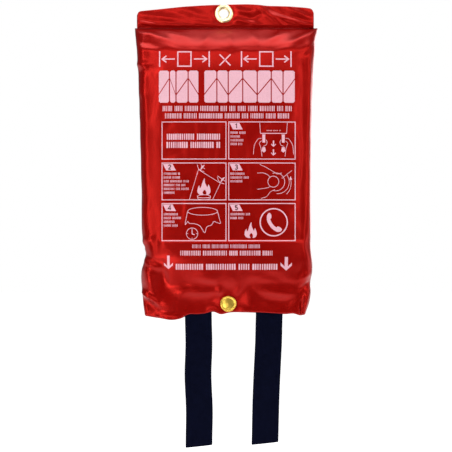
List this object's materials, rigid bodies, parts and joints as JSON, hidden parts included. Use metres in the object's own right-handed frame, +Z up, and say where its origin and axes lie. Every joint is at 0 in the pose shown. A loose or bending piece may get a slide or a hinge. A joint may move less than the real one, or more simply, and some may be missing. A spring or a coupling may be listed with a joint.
{
  "type": "fire blanket",
  "caption": "Folded glass-fibre fire blanket in a flat red hanging pouch with an eyelet header, a press-stud mouth flap and webbing pull tabs.",
  "frame": {"origin": "centre of the pouch's flat back face, on the wall it hangs against", "axes": "+Z up, towards the header and eyelet; +Y into the wall, so the front faces -Y; +X to the right seen from the front"},
  "size_m": [0.1662, 0.02, 0.4106],
  "materials": {
    "red_pvc": "soft glossy PVC sheet",
    "eyelet_brass": "pale polished brass",
    "stud_gold": "gold-coloured satin brass",
    "navy_webbing": "ribbed woven webbing",
    "glass_cloth": "woven glass fibre",
    "sewing_thread": "polyester thread"
  },
  "bodies": {
    "pouch": {"back_panel": "red_pvc", "front_panel": "red_pvc", "press_stud_male": "stud_gold", "press_stud_post": "stud_gold", "header_seam_thread": "sewing_thread"},
    "header": {"header_front_layer": "red_pvc", "header_back_layer": "red_pvc", "eyelet_face": "eyelet_brass", "eyelet_washer": "eyelet_brass"},
    "mouth_flap": {"mouth_flap": "red_pvc", "press_stud_cap": "stud_gold", "press_stud_socket": "stud_gold", "press_stud_spring": "stud_gold"},
    "blanket": {"blanket": "glass_cloth", "left_strap_root": "navy_webbing", "right_strap_root": "navy_webbing", "left_strap_stitching": "sewing_thread", "right_strap_stitching": "sewing_thread"},
    "left_pull_tab": {"left_pull_tab": "navy_webbing"},
    "right_pull_tab": {"right_pull_tab": "navy_webbing"}
  },
  "joints": [
    {"name": "blanket_slide", "type": "slide", "parent": "pouch", "child": "blanket", "axis": [0, 0, -1], "range_m": [0, 0.245]},
    {"name": "mouth_flap_hinge", "type": "hinge", "parent": "pouch", "child": "mouth_flap", "pos_m": [0, -0.02, -0.071], "axis": [-1, 0, 0], "range_deg": [0, 75]},
    {"name": "header_fold", "type": "hinge", "parent": "pouch", "child": "header", "pos_m": [0, -0.00165, 0.1315], "axis": [1, 0, 0], "range_deg": [-90, 90], "stiffness_Nm_per_rad": 0.02},
    {"name": "left_tab_swing", "type": "hinge", "parent": "blanket", "child": "left_pull_tab", "pos_m": [-0.0247, -0.0033, -0.135], "axis": [-1, 0, 0], "range_deg": [0, 90]},
    {"name": "right_tab_swing", "type": "hinge", "parent": "blanket", "child": "right_pull_tab", "pos_m": [0.0409, -0.0033, -0.135], "axis": [-1, 0, 0], "range_deg": [0, 90]}
  ],
  "couplings": [
    {"joint": "mouth_flap_hinge", "follows": "blanket_slide", "rad_per_m": 5.34}
  ]
}
